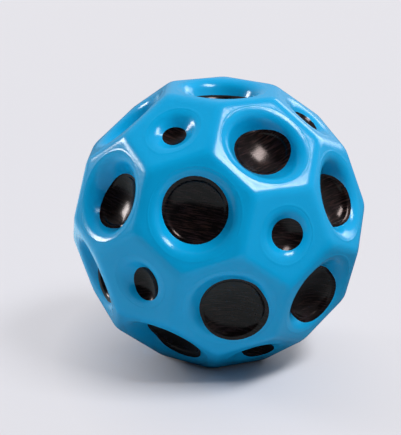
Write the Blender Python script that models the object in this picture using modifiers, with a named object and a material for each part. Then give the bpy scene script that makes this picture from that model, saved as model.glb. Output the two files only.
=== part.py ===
"""Cratered foam bounce ball: a black foam core inside a one-piece blue foam cover.

The outside is a truncated icosahedron with softened edges: 20 hexagons and 12 pentagons. Every face has a
round crater, wide in the hexagons and narrow in the pentagons. A crater goes through the cover and ends in a
shallow dish in the core, so each crater has a blue wall and a black floor. The cover is moulded around the
core, and the pins that form the craters hold the core in the middle of the mould.

Metres, +Z up. The origin is the centre of the ball, which stands on a hexagon at -Z, with another at +Z.
"""

import math
from collections import namedtuple

import bmesh
import bpy
from mathutils import Matrix, Vector

# Ball
BALL_HEIGHT = 0.0622  # from the hexagon that it stands on to the one on top
EDGE_SOFTENING = 0.0011  # how far the rounding of an edge reaches into each face
COVER_THICKNESS = 0.0010  # from the plane of a hexagon down to the core, on the hexagon's axis
MOULDED_GAP = 0.0003  # between the cover and the core

# Wide craters, in the hexagons
WIDE_LAND = 0.0017  # flat strip between the mouth and the middle of a polygon's edge
WIDE_LIP_RADIUS = 0.0030
WIDE_WALL_ANGLE = math.radians(62)  # from the plane of the face
WIDE_BAND_HEIGHT = 0.0004  # black part of the wall, in the core
WIDE_DISH_DEPTH = 0.0016  # middle of the floor below its rim

# Narrow craters, in the pentagons
NARROW_LAND = 0.0036
NARROW_LIP_RADIUS = 0.0020
NARROW_WALL_ANGLE = math.radians(66)
NARROW_BAND_HEIGHT = 0.0004
NARROW_DISH_DEPTH = 0.0008

# Finishes, as linear colours
COVER_BLUE = (0.004, 0.285, 0.595)
COVER_ROUGHNESS = 0.25
CORE_BLACK = (0.010, 0.009, 0.010)
CORE_ROUGHNESS = 0.20

# Fineness of the mesh
EDGE_SEGMENTS = 2
WIDE_SEGMENTS = 18
NARROW_SEGMENTS = 12
LIP_STEPS = 2
DISH_STEPS = 2
SPHERE_SUBDIVISIONS = 4
SMOOTH_ANGLE = math.radians(35)
MERGE_DISTANCE = 0.000001

# A crater's pin: the lip leaves the flat face at a low slope, which the pin keeps up to just above the face
LIP_START_ANGLE = math.radians(10)
BRIM_RISE = 0.0001
PIN_HEADROOM = 0.0010

# The icosahedron that the outside is cut from, turned so that a hexagon faces up and YZ is a mirror plane
INSPHERE_SHARE = math.sqrt((5 + 2 * math.sqrt(5)) / 15)  # distance to a face, for corners at a distance of 1
CORNER_CUT_PERCENT = 100 / 3  # of each edge, which leaves regular hexagons and pentagons
HEXAGON_UP = Matrix.Rotation(math.radians(30), 4, "Z") @ Matrix.Rotation(math.acos(INSPHERE_SHARE), 4, "Y")

CORE_RADIUS = BALL_HEIGHT / 2 - COVER_THICKNESS

Face = namedtuple("Face", "sides axis height inner_radius")


def new_collection(name, parent):
    collection = bpy.data.collections.new(name)
    parent.children.link(collection)
    return collection


def new_material(name, colour, roughness):
    material = bpy.data.materials.new(name)
    material.use_nodes = True
    material.diffuse_color = (*colour, 1)
    shader = material.node_tree.nodes["Principled BSDF"]
    shader.inputs["Base Color"].default_value = (*colour, 1)
    shader.inputs["Roughness"].default_value = roughness
    shader.inputs["Metallic"].default_value = 0
    return material


def mesh_from(name, bm):
    mesh = bpy.data.meshes.new(name)
    bm.to_mesh(mesh)
    bm.free()
    return mesh


def add_object(name, mesh, collection, centre):
    thing = bpy.data.objects.new(name, mesh)
    thing.parent = centre
    collection.objects.link(thing)
    return thing


def make_cutter(thing):
    thing.hide_render = True
    thing.display_type = "WIRE"


def cut_with(thing, name):
    boolean = thing.modifiers.new(name, "BOOLEAN")
    boolean.operation = "DIFFERENCE"
    boolean.solver = "EXACT"
    return boolean


def finish(thing, material):
    thing.data.materials.append(material)
    thing.data.shade_smooth()
    thing.data.set_sharp_from_angle(angle=SMOOTH_ANGLE)


def sharp_ball():
    """The truncated icosahedron before its edges are softened, and its faces, from the top down."""
    bm = bmesh.new()
    bmesh.ops.create_icosphere(bm, subdivisions=1, radius=BALL_HEIGHT / 2 / INSPHERE_SHARE)
    bmesh.ops.bevel(
        bm,
        geom=bm.verts[:],
        offset=CORNER_CUT_PERCENT,
        offset_type="PERCENT",
        segments=1,
        profile=0.5,
        affect="VERTICES",
    )
    bmesh.ops.transform(bm, matrix=HEXAGON_UP, verts=bm.verts[:])
    bm.normal_update()
    faces = []
    for face in bm.faces:
        middle = face.calc_center_median()
        edge_middle = (face.verts[0].co + face.verts[1].co) / 2
        faces.append(Face(len(face.verts), face.normal.copy(), middle.length, (edge_middle - middle).length))
    faces.sort(key=lambda face: (-round(face.axis.z, 3), round(math.atan2(face.axis.y, face.axis.x), 3)))
    return mesh_from("sharp_ball", bm), faces


def sphere(name, radius):
    bm = bmesh.new()
    bmesh.ops.create_icosphere(bm, subdivisions=SPHERE_SUBDIVISIONS, radius=radius)
    bmesh.ops.transform(bm, matrix=HEXAGON_UP, verts=bm.verts[:])
    return mesh_from(name, bm)


def wall_meets_core(start, inward, face_height):
    """Where a straight wall that leaves start in the direction inward reaches the core's surface."""
    from_centre = start + Vector((0, face_height))
    approach = -inward.dot(from_centre)
    reach = approach - math.sqrt(approach**2 - from_centre.length_squared + CORE_RADIUS**2)
    return start + inward * reach


def pin_profile(face, land, lip_radius, wall_angle, band_height, dish_depth):
    """Half section of a crater's pin as (radius, height above the face), from its top to its floor."""
    lip_centre = Vector((face.inner_radius - land, -lip_radius))
    lip = []
    for step in range(LIP_STEPS + 1):
        angle = LIP_START_ANGLE + (wall_angle - LIP_START_ANGLE) * step / LIP_STEPS
        lip.append(lip_centre + lip_radius * Vector((-math.sin(angle), math.cos(angle))))
    brim_radius = lip[0].x + (BRIM_RISE - lip[0].y) / math.tan(LIP_START_ANGLE)
    head = [Vector((0, PIN_HEADROOM)), Vector((brim_radius, PIN_HEADROOM)), Vector((brim_radius, BRIM_RISE))]

    inward = Vector((-math.cos(wall_angle), -math.sin(wall_angle)))
    cover_edge = wall_meets_core(lip[-1], inward, face.height)
    dish_rim = cover_edge + inward * (band_height / math.sin(wall_angle))
    floor = []
    for step in range(DISH_STEPS + 1):
        share = 1 - step / DISH_STEPS
        floor.append(Vector((dish_rim.x * share, dish_rim.y - dish_depth * (1 - share**2))))
    return head + lip + floor


def turned_mesh(name, profile):
    mesh = bpy.data.meshes.new(name)
    points = [(point.x, 0, point.y) for point in profile]
    mesh.from_pydata(points, [(index, index + 1) for index in range(len(points) - 1)], [])
    return mesh


def add_pin(name, mesh, segments, face, collection, centre):
    pin = add_object(name, mesh, collection, centre)
    pin.location = face.axis * face.height
    pin.rotation_euler = face.axis.to_track_quat("Z", "Y").to_euler()
    screw = pin.modifiers.new("turn", "SCREW")
    screw.steps = screw.render_steps = segments
    screw.use_merge_vertices = True
    screw.merge_threshold = MERGE_DISTANCE
    screw.use_smooth_shade = True
    make_cutter(pin)


def add_pins(faces, collection, centre):
    """A pin in every face: wide ones in the hexagons, narrow ones in the pentagons."""
    hexagon = next(face for face in faces if face.sides == 6)
    pentagon = next(face for face in faces if face.sides == 5)
    wide = pin_profile(
        hexagon, WIDE_LAND, WIDE_LIP_RADIUS, WIDE_WALL_ANGLE, WIDE_BAND_HEIGHT, WIDE_DISH_DEPTH
    )
    narrow = pin_profile(
        pentagon, NARROW_LAND, NARROW_LIP_RADIUS, NARROW_WALL_ANGLE, NARROW_BAND_HEIGHT, NARROW_DISH_DEPTH
    )
    wide_mesh = turned_mesh("wide_pin", wide)
    narrow_mesh = turned_mesh("narrow_pin", narrow)
    for number, face in enumerate(faces, 1):
        if face.sides == 6:
            add_pin(f"wide_pin_{number:02d}", wide_mesh, WIDE_SEGMENTS, face, collection, centre)
        else:
            add_pin(f"narrow_pin_{number:02d}", narrow_mesh, NARROW_SEGMENTS, face, collection, centre)


def add_core(pins, collection, centre):
    core = add_object("foam_core", sphere("foam_core", CORE_RADIUS), collection, centre)
    finish(core, new_material("black_foam", CORE_BLACK, CORE_ROUGHNESS))
    boolean = cut_with(core, "crater_dishes")
    boolean.operand_type = "COLLECTION"
    boolean.collection = pins


def add_cover(ball_mesh, pins, cutters, collection, centre):
    core_space = add_object("core_space", sphere("core_space", CORE_RADIUS + MOULDED_GAP), cutters, centre)
    make_cutter(core_space)
    cover = add_object("foam_cover", ball_mesh, collection, centre)
    finish(cover, new_material("blue_foam", COVER_BLUE, COVER_ROUGHNESS))
    bevel = cover.modifiers.new("softened_edges", "BEVEL")
    bevel.width = EDGE_SOFTENING
    bevel.segments = EDGE_SEGMENTS
    bevel.limit_method = "NONE"
    craters = cut_with(cover, "craters")
    craters.operand_type = "COLLECTION"
    craters.collection = pins
    cut_with(cover, "hollow").object = core_space


def main():
    for thing in list(bpy.data.objects):
        bpy.data.objects.remove(thing, do_unlink=True)
    root = bpy.context.scene.collection
    ball = new_collection("bounce_ball", root)
    cutters = new_collection("cutters", root)
    pins = new_collection("crater_pins", cutters)
    centre = bpy.data.objects.new("ball_centre", None)
    ball.objects.link(centre)

    ball_mesh, faces = sharp_ball()
    add_pins(faces, pins, centre)
    add_core(pins, ball, centre)
    add_cover(ball_mesh, pins, cutters, ball, centre)


main()
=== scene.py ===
import math
import random

import bmesh
import bpy
from mathutils import Matrix, Quaternion, Vector


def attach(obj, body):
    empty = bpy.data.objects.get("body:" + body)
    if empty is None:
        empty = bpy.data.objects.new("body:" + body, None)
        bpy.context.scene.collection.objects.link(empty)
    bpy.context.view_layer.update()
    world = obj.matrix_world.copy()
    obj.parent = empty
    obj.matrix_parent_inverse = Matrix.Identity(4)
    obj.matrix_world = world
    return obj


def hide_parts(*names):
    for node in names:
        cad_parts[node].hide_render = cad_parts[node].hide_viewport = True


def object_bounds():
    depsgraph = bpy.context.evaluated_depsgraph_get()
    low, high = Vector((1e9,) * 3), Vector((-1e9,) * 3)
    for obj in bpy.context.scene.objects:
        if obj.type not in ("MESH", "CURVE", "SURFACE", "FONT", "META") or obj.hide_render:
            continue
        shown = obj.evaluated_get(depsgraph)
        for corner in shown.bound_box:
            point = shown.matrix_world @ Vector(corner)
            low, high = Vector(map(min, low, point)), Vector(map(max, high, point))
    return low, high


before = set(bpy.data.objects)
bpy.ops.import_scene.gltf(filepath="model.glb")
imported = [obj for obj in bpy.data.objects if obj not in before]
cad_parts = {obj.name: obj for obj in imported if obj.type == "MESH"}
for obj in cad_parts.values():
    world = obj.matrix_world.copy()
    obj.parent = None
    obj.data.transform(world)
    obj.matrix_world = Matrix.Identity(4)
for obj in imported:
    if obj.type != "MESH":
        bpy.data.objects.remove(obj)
cadLow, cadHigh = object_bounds()
print("frame loaded with", ", ".join(sorted(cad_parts)))

millimetre = 0.001


# The camera of the photo: it looks slightly down on a ball that stands on a hexagon
photoCamera = {
    "azimuth": 302.56,  # degrees, of the line from the ball back to the camera
    "elevation": 17.3,
    "roll": 1.47,
    "distance": 0.4065,
    "ballRight": 0.0040,  # where the ball's centre sits, off the middle of the picture
    "ballUp": -0.0008,
    "lens": 146.6,
    "sensor": 36.0,
    "clipStart": 0.01,
}


def directionTo(azimuth, elevation):
    around, above = math.radians(azimuth), math.radians(elevation)
    return Vector((math.cos(around) * math.cos(above), math.sin(around) * math.cos(above), math.sin(above)))


def addCamera():
    data = bpy.data.cameras.new("photoCamera")
    data.lens = photoCamera["lens"]
    data.sensor_width = photoCamera["sensor"]
    data.clip_start = photoCamera["clipStart"]
    camera = bpy.data.objects.new("photoCamera", data)
    bpy.context.scene.collection.objects.link(camera)
    back = directionTo(photoCamera["azimuth"], photoCamera["elevation"])
    turn = back.to_track_quat("Z", "Y") @ Quaternion((0, 0, 1), math.radians(photoCamera["roll"]))
    camera.rotation_mode = "QUATERNION"
    camera.rotation_quaternion = turn
    camera.location = turn @ Vector(
        (-photoCamera["ballRight"], -photoCamera["ballUp"], photoCamera["distance"])
    )
    bpy.context.scene.camera = camera
    print("camera placed")


# The ball: 20 hexagons and 12 pentagons with soft edges and a round crater in every face.
# Its rings are shares of a way: over the land from the polygon's edge to the crater's mouth, down the wall
# from the mouth to the black, and through the bowl from the edge of the black towards its middle.
ball = {
    "height": cadHigh.z - cadLow.z,
    "edgeReach": 1.1 * millimetre,  # how far the rounding of an edge reaches into a face
    "edgeBlend": 0.85,  # share of that reach, over which neighbouring planes blend
    "nearPlanes": 0.5,  # least cosine between a ray and the planes that it can end at
    "pointsPerEdge": 12,
    "landRings": (0, 0.1, 0.2, 0.32, 0.46, 0.64, 0.80, 0.92, 1),
    "wallRings": (0.03, 0.08, 0.15, 0.23, 0.31, 0.39, 0.47, 0.55, 0.63, 0.71, 0.79, 0.86, 0.93, 1),
    "bowlRings": (0, 0.05, 0.085, 0.105, 0.125, 0.145, 0.17, 0.22, 0.32, 0.46, 0.62, 0.80),
    "lipSteps": 16,
    "floorSteps": 31,
    "bowlSteps": 60,
    "mouthBead": 0.05 * millimetre,  # height of the fine ridge around every mouth
    "blackMargin": 0.3 * millimetre,  # least distance of the black from the mouth
    "ledgeStep": 0.05,  # width of the step below a ledge, as a share of the black's radius
    "grainTurn": 0.3,  # radians, by which the tool marks turn either way
    "coreRadius": 30.1 * millimetre,
    "jointGap": 0.3 * millimetre,  # between cover and core, out of sight
    "coreJoint": 1.6,  # gaps from the edge of the black to where the core's side of the joint starts
    "mergeDistance": 0.002 * millimetre,
}
craterShapes = {
    "wide": {  # in the hexagons
        "land": 1.7 * millimetre,
        "lipRadius": 3.0 * millimetre,
        "wallAngle": math.radians(62),
        "bowlSlope": math.radians(25),  # of the floor at its edge
        "ledge": 0.09,  # width of the black's ledge, as a share of its radius
        "ledgeHeight": 0.45,  # 1 is a level ledge and 0 none
    },
    "narrow": {  # in the pentagons
        "land": 3.1 * millimetre,
        "lipRadius": 3.5 * millimetre,
        "wallAngle": math.radians(50),
        "bowlSlope": math.radians(28),
        "ledge": 0.10,
        "ledgeHeight": 0.0,
    },
}

# How the black sits in the craters that the photo shows, which is never quite in the middle.
# A crater is found by its azimuth and latitude in degrees. Its black is an oval, in millimetres: how far
# its middle is east and north of the crater's, and its radius from east to west and from north to south.
# The last number is the radius of the floor, where the wall ends.
blackInView = {
    (0, 90): (0.2, -0.3, 7.1, 7.1, 6.4),
    (270, 53): (-0.4, 0.0, 2.8, 2.5, 3.4),
    (30, 53): (0.6, -0.3, 3.4, 3.4, 3.4),
    (330, 48): (0.9, 0.7, 6.4, 5.6, 6.4),
    (210, 48): (0.5, 0.0, 5.9, 5.9, 6.0),
    (248, 19): (-1.0, -0.7, 5.6, 6.3, 6.4),
    (292, 19): (-0.35, 0.95, 7.2, 7.3, 7.2),
    (330, 11): (0.9, -0.1, 3.5, 3.5, 3.4),
    (8, 19): (1.7, -0.8, 6.0, 6.1, 6.4),
    (270, -11): (0.9, -0.8, 3.7, 3.7, 3.4),
    (308, -19): (1.3, -1.7, 7.5, 7.6, 7.3),
    (352, -19): (1.6, -1.9, 6.6, 6.6, 6.8),
    (232, -19): (-0.6, -1.6, 6.3, 6.3, 6.8),
    (270, -48): (0.7, -1.6, 7.0, 6.8, 7.2),
    (330, -53): (1.5, -1.0, 3.7, 3.7, 3.4),
}
blackElsewhere = {  # millimetres
    "seed": 7,
    "offCentre": 0.9,
    "wide": (7.2, 7.0),  # radius of the black and of the floor
    "narrow": (3.4, 3.4),
}


def rowAndTurn(face):
    # Rounded, so that the faces of one row stay together
    axis = face["axis"]
    return -round(axis.z, 3), round(math.atan2(axis.y, axis.x), 3)


def polygonFaces():
    # An icosahedron with its corners cut off, turned so that a hexagon faces up
    insphereShare = math.sqrt((5 + 2 * math.sqrt(5)) / 15)  # for corners at a distance of 1
    upright = Matrix.Rotation(math.acos(insphereShare), 4, "Y")
    hexagonUp = Matrix.Rotation(math.radians(30), 4, "Z") @ upright
    thirdOfAnEdge = 100 / 3  # percent
    poleLimit = 0.01  # a face that leans less than this is the top or the bottom, with no east of its own
    bm = bmesh.new()
    bmesh.ops.create_icosphere(bm, subdivisions=1, radius=ball["height"] / 2 / insphereShare)
    bmesh.ops.bevel(
        bm,
        geom=bm.verts[:],
        offset=thirdOfAnEdge,
        offset_type="PERCENT",
        segments=1,
        profile=0.5,
        affect="VERTICES",
    )
    bmesh.ops.transform(bm, matrix=hexagonUp, verts=bm.verts[:])
    bm.normal_update()
    found = []
    for polygon in bm.faces:
        axis = polygon.normal.copy()
        middle = polygon.calc_center_median()
        east = Vector((0, 0, 1)).cross(axis)
        east = east.normalized() if east.length > poleLimit else Vector((1, 0, 0))
        corners = [corner.co.copy() for corner in polygon.verts]
        found.append({
            "kind": "wide" if len(corners) == 6 else "narrow",
            "axis": axis,
            "height": middle.length,
            "east": east,
            "north": axis.cross(east),
            "corners": corners,
            "innerRadius": ((corners[0] + corners[1]) / 2 - middle).length,
        })
    bm.free()
    found.sort(key=rowAndTurn)
    return found


faces = polygonFaces()
print("ball has", len(faces), "faces")


def softened(point):
    # The point's own ray, cut off at the nearest planes of the ball, which blend where they meet
    ray = point.normalized()
    blend = ball["edgeReach"] * ball["edgeBlend"]
    facing = [(ray.dot(face["axis"]), face["height"]) for face in faces]
    reaches = sorted(height / slant for slant, height in facing if slant > ball["nearPlanes"])
    reach = reaches[0]
    for other in reaches[1:3]:
        overlap = max(blend - (other - reach), 0) / blend
        reach -= overlap**2 * blend / 4
    return ray * reach


def lipArc(mouth, lip, steep):
    turns = [steep * step / ball["lipSteps"] for step in range(ball["lipSteps"] + 1)]
    return [(mouth - lip * math.sin(turn), lip * (1 - math.cos(turn))) for turn in turns]


def craterProfile(face, floorRadius):
    # Points (radius, depth) from the mouth to the middle of the floor, before the cover is led to the black
    shape = craterShapes[face["kind"]]
    mouth = face["innerRadius"] - shape["land"]
    steep = shape["wallAngle"]
    points = lipArc(mouth, shape["lipRadius"], steep)
    floorDepth = points[-1][1] + (points[-1][0] - floorRadius) * math.tan(steep)
    bowlDepth = floorRadius / 2 * math.tan(shape["bowlSlope"])
    for step in range(ball["floorSteps"] + 1):
        radius = floorRadius * (1 - step / ball["floorSteps"])
        points.append((radius, floorDepth + bowlDepth * (1 - (radius / floorRadius) ** 2)))
    return points


def coverWall(face, profile, floorRadius, blackRadius, blackDepth):
    # Points from the mouth to the edge of the black. Where that edge lies inside the floor, the wall that
    # leads to it is straight.
    mouth, lip = profile[0][0], craterShapes[face["kind"]]["lipRadius"]
    if blackRadius < floorRadius:
        across, below = mouth - blackRadius, lip - blackDepth
        steep = math.asin(lip / math.hypot(across, below)) - math.atan2(below, across)
        return lipArc(mouth, lip, steep) + [(blackRadius, blackDepth)]
    return [point for point in profile if point[0] > blackRadius] + [(blackRadius, blackDepth)]


def bowlCurve(face, floorRadius, blackRadius, blackDepth, middleDepth):
    # Points from the edge of the black to the middle of the floor: a narrow ledge, a small step and a round
    # bowl, which turns up towards its edge where the black climbs the wall
    shape = craterShapes[face["kind"]]
    roundness = math.tan(shape["bowlSlope"]) / floorRadius / 2 * blackRadius**2
    climb = middleDepth - blackDepth - roundness
    points = []
    for step in range(ball["bowlSteps"] + 1):
        share = 1 - step / ball["bowlSteps"]
        depth = middleDepth - roundness * share**2 - climb * share**4
        onLedge = min(max((share - 1 + shape["ledge"]) / ball["ledgeStep"] + 1, 0), 1)
        onLedge *= shape["ledgeHeight"]
        points.append((blackRadius * share, depth + (blackDepth - depth) * onLedge))
    return points


def between(value, knots, results):
    # Straight-line reading of a table whose knots rise
    for index in range(1, len(knots)):
        if value <= knots[index] or index == len(knots) - 1:
            share = (value - knots[index - 1]) / (knots[index] - knots[index - 1])
            return results[index - 1] + (results[index] - results[index - 1]) * share


def alongCurve(points, share):
    # The point (radius, depth) at a share of the curve's length
    lengths = [0]
    for before, after in zip(points, points[1:]):
        lengths.append(lengths[-1] + math.dist(before, after))
    radii, depths = zip(*points)
    reach = lengths[-1] * share
    return between(reach, lengths, radii), between(reach, lengths, depths)


def blackOval(face, draw):
    tolerance = 1  # degrees
    azimuth = math.degrees(math.atan2(face["axis"].y, face["axis"].x)) % 360
    latitude = math.degrees(math.asin(face["axis"].z))
    onTop = latitude > 90 - tolerance  # where every azimuth is the same
    aside = draw.uniform(0, math.tau)
    away = draw.uniform(0, blackElsewhere["offCentre"])
    for (knownAzimuth, knownLatitude), oval in blackInView.items():
        sameColumn = onTop or abs((azimuth - knownAzimuth + 180) % 360 - 180) < tolerance
        if sameColumn and abs(latitude - knownLatitude) < tolerance:
            return [size * millimetre for size in oval]
    radius, floorRadius = blackElsewhere[face["kind"]]
    oval = (away * math.cos(aside), away * math.sin(aside), radius, radius, floorRadius)
    return [size * millimetre for size in oval]


def craterRings(face, draw):
    # All rings of one face, as lists of points: land, blue wall, black bowl and the hidden joint
    ovalEast, ovalNorth, radiusEast, radiusNorth, floorRadius = blackOval(face, draw)
    profile = craterProfile(face, floorRadius)
    mouth, floorDepth = profile[0][0], profile[-1][1]
    middle = face["axis"] * face["height"]
    spokes = []
    corners = face["corners"]
    for corner, following in zip(corners, corners[1:] + corners[:1]):
        for step in range(ball["pointsPerEdge"]):
            spokes.append(corner.lerp(following, step / ball["pointsPerEdge"]))

    land = [[] for ring in ball["landRings"]]
    wall = [[] for ring in ball["wallRings"]]
    bowl = [[] for ring in ball["bowlRings"]]
    coverJoint, coreJoint = [[], []], [[], []]
    for edgePoint in spokes:
        outward = (edgePoint - middle).normalized()
        mouthPoint = middle + outward * mouth
        for share, ring in zip(ball["landRings"], land):
            ring.append(softened(edgePoint.lerp(mouthPoint, share)))
        land[-1][-1] += face["axis"] * ball["mouthBead"]

        # Where the spoke leaves the oval of the black, which solves a square equation
        cosine, sine = outward.dot(face["east"]), outward.dot(face["north"])
        slant = (cosine / radiusEast) ** 2 + (sine / radiusNorth) ** 2
        lean = cosine * ovalEast / radiusEast**2 + sine * ovalNorth / radiusNorth**2
        rest = (ovalEast / radiusEast) ** 2 + (ovalNorth / radiusNorth) ** 2 - 1
        blackRadius = (lean + math.sqrt(lean**2 - slant * rest)) / slant
        blackRadius = min(blackRadius, mouth - ball["blackMargin"])
        radii, depths = zip(*profile)
        blackDepth = between(-blackRadius, [-radius for radius in radii], depths)

        blue = coverWall(face, profile, floorRadius, blackRadius, blackDepth)
        black = bowlCurve(face, floorRadius, blackRadius, blackDepth, floorDepth)
        for shares, rings, curve in ((ball["wallRings"], wall, blue), (ball["bowlRings"], bowl, black)):
            for share, ring in zip(shares, rings):
                radius, depth = alongCurve(curve, share)
                ring.append(middle + outward * radius - face["axis"] * depth)

        blackEdge = wall[-1][-1]
        behind = (outward - face["axis"]) * ball["jointGap"]
        fromCentre = edgePoint.normalized()
        coverJoint[0].append(blackEdge + behind)
        coverJoint[1].append(fromCentre * (ball["coreRadius"] + ball["jointGap"]))
        coreJoint[0].append(blackEdge + behind * ball["coreJoint"])
        coreJoint[1].append(fromCentre * ball["coreRadius"])
    floorMiddle = middle - face["axis"] * floorDepth
    return land, wall, bowl, coverJoint, coreJoint, floorMiddle


def bridge(bm, outerRing, innerRing):
    made = []
    count = len(outerRing)
    for index in range(count):
        following = (index + 1) % count
        quad = outerRing[index], outerRing[following], innerRing[following], innerRing[index]
        made.append(bm.faces.new(quad))
    return made


def sharpen(ring):
    ringVerts = set(ring)
    for vert in ring:
        for edge in vert.link_edges:
            if edge.other_vert(vert) in ringVerts:
                edge.smooth = False


def addPiece(name, bm, node, material):
    bmesh.ops.remove_doubles(bm, verts=bm.verts[:], dist=ball["mergeDistance"])
    for polygon in bm.faces:
        polygon.smooth = True
    mesh = bpy.data.meshes.new(name)
    bm.to_mesh(mesh)
    bm.free()
    mesh.materials.append(material)
    piece = bpy.data.objects.new(name, mesh)
    bpy.context.scene.collection.objects.link(piece)
    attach(piece, "root")
    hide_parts(node)
    print(name, "has", len(mesh.polygons), "faces")


def buildBall(blueFinish, blackFinish):
    draw = random.Random(blackElsewhere["seed"])
    coverMesh, coreMesh = bmesh.new(), bmesh.new()
    craterUv = coreMesh.loops.layers.uv.new("crater")
    for face in faces:
        land, wall, bowl, coverJoint, coreJoint, floorMiddle = craterRings(face, draw)
        grain = draw.uniform(-ball["grainTurn"], ball["grainTurn"])

        shown = [[coverMesh.verts.new(point) for point in ring] for ring in land + wall]
        hidden = [[coverMesh.verts.new(point) for point in ring] for ring in coverJoint]
        for outerRing, innerRing in zip(shown, shown[1:]):
            bridge(coverMesh, outerRing, innerRing)
        bridge(coverMesh, shown[-1], hidden[0])
        bridge(coverMesh, hidden[0], hidden[1])
        sharpen(shown[-1])

        floorRings = [[coreMesh.verts.new(point) for point in ring] for ring in bowl]
        buried = [[coreMesh.verts.new(point) for point in ring] for ring in coreJoint]
        centre = coreMesh.verts.new(floorMiddle)
        polygons = bridge(coreMesh, buried[1], buried[0]) + bridge(coreMesh, buried[0], floorRings[0])
        for outerRing, innerRing in zip(floorRings, floorRings[1:]):
            polygons += bridge(coreMesh, outerRing, innerRing)
        last = floorRings[-1]
        for index, vert in enumerate(last):
            polygons.append(coreMesh.faces.new((vert, last[(index + 1) % len(last)], centre)))
        sharpen(floorRings[0])

        # Along and across the tool marks, shifted so that every crater has marks of its own
        for polygon in polygons:
            for loop in polygon.loops:
                offset = loop.vert.co - floorMiddle
                east, north = offset.dot(face["east"]), offset.dot(face["north"])
                along = east * math.cos(grain) + north * math.sin(grain)
                aside = north * math.cos(grain) - east * math.sin(grain)
                loop[craterUv].uv = (along + face["axis"].x, aside + face["axis"].z)
    addPiece("coverSkin", coverMesh, "foam_cover", blueFinish)
    addPiece("coreBowls", coreMesh, "foam_core", blackFinish)


# Shader sockets that can be added, multiplied and so on
class Wire:
    def __init__(self, tree, socket=None):
        self.tree = tree
        self.socket = socket

    def node(self, kind, settings, sockets, output=0):
        made = self.tree.nodes.new(kind)
        for name, value in settings.items():
            setattr(made, name, value)
        for name, value in sockets.items():
            socket = made.inputs[name]
            if isinstance(value, Wire):
                self.tree.links.new(value.socket, socket)
            elif isinstance(value, tuple) and socket.type == "RGBA":
                socket.default_value = (*value, 1)
            else:
                socket.default_value = value
        return Wire(self.tree, made.outputs[output])

    def math(self, operation, first, second):
        return self.node("ShaderNodeMath", {"operation": operation}, {0: first, 1: second})

    def __add__(self, other):
        return self.math("ADD", self, other)

    def __radd__(self, other):
        return self.math("ADD", other, self)

    def __sub__(self, other):
        return self.math("SUBTRACT", self, other)

    def __rsub__(self, other):
        return self.math("SUBTRACT", other, self)

    def __mul__(self, other):
        return self.math("MULTIPLY", self, other)

    def __rmul__(self, other):
        return self.math("MULTIPLY", other, self)


def noise(place, scale, detail):
    return place.node("ShaderNodeTexNoise", {}, {"Vector": place, "Scale": scale, "Detail": detail})


def ramp(value, low, high, start=0.0, end=1.0):
    sockets = {"Value": value, "From Min": low, "From Max": high, "To Min": start, "To Max": end}
    return value.node("ShaderNodeMapRange", {"clamp": True}, sockets)


def mixed(share, first, second):
    sockets = {"Factor": share, "A": first, "B": second}
    return share.node("ShaderNodeMix", {"data_type": "RGBA"}, sockets, "Result")


def towards(place, direction):
    sockets = {0: place, 1: tuple(direction)}
    return place.node("ShaderNodeVectorMath", {"operation": "DOT_PRODUCT"}, sockets, "Value")


def lengthOf(vector):
    return vector.node("ShaderNodeVectorMath", {"operation": "LENGTH"}, {0: vector}, "Value")


def bumped(height):
    return height.node("ShaderNodeBump", {}, {"Strength": 1.0, "Distance": 1.0, "Height": height})


def newFinish(name):
    material = bpy.data.materials.new(name)
    material.use_nodes = True
    tree = material.node_tree
    shader = tree.nodes["Principled BSDF"]
    return material, Wire(tree), shader


def feed(shader, sockets):
    for name, value in sockets.items():
        shader.id_data.links.new(value.socket, shader.inputs[name])


# Blue cover: a smooth, glossy moulded skin with a faint ripple
blueFoam = {
    "light": (0.002, 0.375, 0.720),
    "deep": (0.001, 0.325, 0.645),
    "cloudScale": 70,  # per metre
    "cloudDetail": 3.0,
    "rippleScale": 900,
    "rippleDetail": 2.0,
    "rippleHeight": 0.02 * millimetre,
    "poreScale": 3200,
    "poreDetail": 2.0,
    "poreHeight": 0.004 * millimetre,
    "specular": 0.27,
    "roughness": 0.17,
    "roughnessSpread": 0.08,
}


def blueFoamFinish():
    material, wire, shader = newFinish("blueFoamSkin")
    shader.inputs["Specular IOR Level"].default_value = blueFoam["specular"]
    place = wire.node("ShaderNodeTexCoord", {}, {}, "Object")
    clouds = noise(place, blueFoam["cloudScale"], blueFoam["cloudDetail"])
    ripple = noise(place, blueFoam["rippleScale"], blueFoam["rippleDetail"])
    pores = noise(place, blueFoam["poreScale"], blueFoam["poreDetail"])
    feed(shader, {
        "Base Color": mixed(clouds, blueFoam["deep"], blueFoam["light"]),
        "Roughness": blueFoam["roughness"] + blueFoam["roughnessSpread"] * (clouds * pores),
        "Normal": bumped(ripple * blueFoam["rippleHeight"] + pores * blueFoam["poreHeight"]),
    })
    return material


# Black core: glossy bowls with fine tool marks, along which a brown and violet sheen is painted into the
# colour
blackFoam = {
    "black": (0.0014, 0.0012, 0.0015),
    "brown": (0.0400, 0.0170, 0.0090),
    "violet": (0.0110, 0.0070, 0.0150),
    "specular": 0.22,
    "sheen": (1.0, 0.80, 0.76),
    "streakScale": (300, 2700, 1),  # per metre, along and across the tool marks
    "streakDetail": 3.0,
    "streakFrom": 0.45,  # values of the streak noise between which black turns to the painted brown or violet sheen
    "streakTo": 0.75,
    "streakHeight": 0.006 * millimetre,
    "patchScale": 260,
    "patchDetail": 1.0,
    "dentHeight": 0.06 * millimetre,
    "roughness": 0.12,
    "roughnessSpread": 0.14,
}


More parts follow.
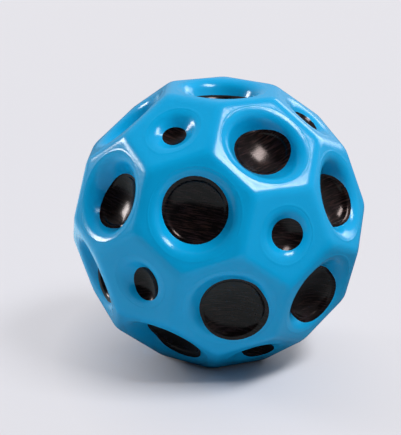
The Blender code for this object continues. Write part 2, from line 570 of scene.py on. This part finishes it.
def blackFoamFinish():
    material, wire, shader = newFinish("blackFoamBowl")
    shader.inputs["Specular IOR Level"].default_value = blackFoam["specular"]
    shader.inputs["Specular Tint"].default_value = (*blackFoam["sheen"], 1)
    crater = wire.node("ShaderNodeTexCoord", {}, {}, "UV")
    stretched = wire.node(
        "ShaderNodeVectorMath", {"operation": "MULTIPLY"}, {0: crater, 1: blackFoam["streakScale"]}
    )
    place = wire.node("ShaderNodeTexCoord", {}, {}, "Object")
    streaks = noise(stretched, 1.0, blackFoam["streakDetail"])
    patches = noise(place, blackFoam["patchScale"], blackFoam["patchDetail"])
    # Painted sheen: brown and violet colour along the real tool marks stands in for their glossy sheen
    paintedSheen = mixed(patches, blackFoam["brown"], blackFoam["violet"])
    paintedSheenMask = ramp(streaks, blackFoam["streakFrom"], blackFoam["streakTo"])
    feed(shader, {
        "Base Color": mixed(paintedSheenMask, blackFoam["black"], paintedSheen),
        "Roughness": blackFoam["roughness"] + blackFoam["roughnessSpread"] * streaks,
        "Normal": bumped(streaks * blackFoam["streakHeight"] + patches * blackFoam["dentHeight"]),
    })
    return material


# Studio: a pale floor, a large soft light overhead on the right, a weak low panel behind it, a low soft
# light on the left, and pale surroundings that are dark only on the camera's side
studio = {
    "floorSize": 60.0,
    "floorColour": (0.572, 0.577, 0.620),
    "floorRoughness": 0.9,
    "floorSpecular": 0.1,
    "paleBounce": (0.56, 0.74, 0.79),  # the floor as the ball sees it
    "paintedShadeBounce": (0.10, 0.10, 0.105),  # painted shade: the same floor, darkened behind the ball on the right and under the ball
    "darkSide": 58,  # degrees, of the direction in which the painted shade on the bounce gets darker
    "bounceFrom": -0.005,  # metres in that direction
    "bounceTo": 0.045,
    "contactShadeFrom": 0.036,  # metres from the ball's axis, between which painted shade darkens the bounce towards the contact
    "contactShadeTo": 0.010,
    "fadeFrom": 0.18,  # metres from the ball's axis, where the floor goes over into the plain background
    "fadeTo": 0.60,
    "background": (0.80, 0.79, 0.83),
    "shadowMiddle": (0.0099, -0.0094, 0.0),  # middle of the oval shadow that the camera sees
    "shadowTurn": 42.3,  # degrees
    "shadowOval": (0.626, 1.0, 1.0),  # its width along the turned axes, as shares of a circle's
    "liftFrom": 0.0144,  # metres from that middle, between which the shadow gets paler
    "liftTo": 0.064,
    "shadowLift": 0.709,  # share of the plain background that it reaches
    "surroundings": 0.50,  # strength of the background as the ball sees it
    "cameraSide": 0.085,  # the same, on the dark side
    "darkAzimuth": 270,  # where the dark room behind the camera is, as the black bowls show it
    "darkElevation": 25,
    "darkFrom": 0.25,  # cosines of the angle from there, between which the surroundings get dark
    "darkTo": 0.60,
    "lights": {
        "overheadSoftbox": {"azimuth": 11.5, "elevation": 61, "across": 2.5, "along": 1.25, "power": 255},
        "backPanel": {"azimuth": 84, "elevation": 18, "across": 3.0, "along": 2.0, "power": 62},
        "leftSoftbox": {"azimuth": 189, "elevation": 17.5, "across": 1.18, "along": 1.25, "power": 110},
    },
    "lightDistance": 5.0,
}


def addFloor():
    bpy.ops.mesh.primitive_plane_add(size=studio["floorSize"], location=(0, 0, cadLow.z))
    floor = bpy.context.object
    floor.name = "studioFloor"
    material, wire, shader = newFinish("paleFloor")
    shader.inputs["Roughness"].default_value = studio["floorRoughness"]
    shader.inputs["Specular IOR Level"].default_value = studio["floorSpecular"]
    seen = wire.node("ShaderNodeLightPath", {}, {}, "Is Camera Ray")
    place = wire.node("ShaderNodeTexCoord", {}, {}, "Object")
    distance = lengthOf(place)

    # Painted shade in the floor's colour as the ball sees it: darker behind the ball on the right and
    # towards the contact under it
    aside = towards(place, directionTo(studio["darkSide"], 0))
    paintedShadeBehind = ramp(aside, studio["bounceFrom"], studio["bounceTo"])
    paintedContactShade = ramp(distance, studio["contactShadeFrom"], studio["contactShadeTo"])
    bounce = mixed(paintedShadeBehind + paintedContactShade, studio["paleBounce"], studio["paintedShadeBounce"])
    feed(shader, {"Base Color": mixed(seen, bounce, studio["floorColour"])})

    oval = wire.node(
        "ShaderNodeMapping",
        {"vector_type": "TEXTURE"},
        {
            "Vector": place,
            "Location": studio["shadowMiddle"],
            "Rotation": (0.0, 0.0, math.radians(studio["shadowTurn"])),
            "Scale": studio["shadowOval"],
        },
    )
    lifted = ramp(lengthOf(oval), studio["liftFrom"], studio["liftTo"], end=studio["shadowLift"])
    faded = ramp(distance, studio["fadeFrom"], studio["fadeTo"])
    plainShare = (lifted + faded * (1 - studio["shadowLift"])) * seen
    lit = Wire(wire.tree, shader.outputs[0])
    plain = wire.node("ShaderNodeEmission", {}, {"Color": studio["background"], "Strength": 1.0})
    surface = wire.node("ShaderNodeMixShader", {}, {0: plainShare, 1: lit, 2: plain})
    wire.tree.links.new(surface.socket, wire.tree.nodes["Material Output"].inputs["Surface"])
    floor.data.materials.append(material)


def addLights():
    for name, light in studio["lights"].items():
        data = bpy.data.lights.new(name, "AREA")
        data.shape = "RECTANGLE"
        data.size, data.size_y = light["across"], light["along"]
        data.energy = light["power"]
        lamp = bpy.data.objects.new(name, data)
        bpy.context.scene.collection.objects.link(lamp)
        direction = directionTo(light["azimuth"], light["elevation"])
        lamp.location = direction * studio["lightDistance"]
        lamp.rotation_euler = direction.to_track_quat("Z", "Y").to_euler()


def addSurroundings():
    world = bpy.data.worlds.new("studio")
    world.use_nodes = True
    bpy.context.scene.world = world
    wire = Wire(world.node_tree)
    direction = wire.node("ShaderNodeTexCoord", {}, {}, "Generated")
    facing = towards(direction, directionTo(studio["darkAzimuth"], studio["darkElevation"]))
    light = ramp(facing, studio["darkFrom"], studio["darkTo"], studio["surroundings"], studio["cameraSide"])
    seen = wire.node("ShaderNodeLightPath", {}, {}, "Is Camera Ray")
    background = world.node_tree.nodes["Background"]
    background.inputs["Color"].default_value = (*studio["background"], 1)
    feed(background, {"Strength": light * (1 - seen) + seen})
    bpy.context.scene.view_settings.view_transform = "Standard"
    print("studio lit")


addCamera()
buildBall(blueFoamFinish(), blackFoamFinish())
addFloor()
addLights()
addSurroundings()
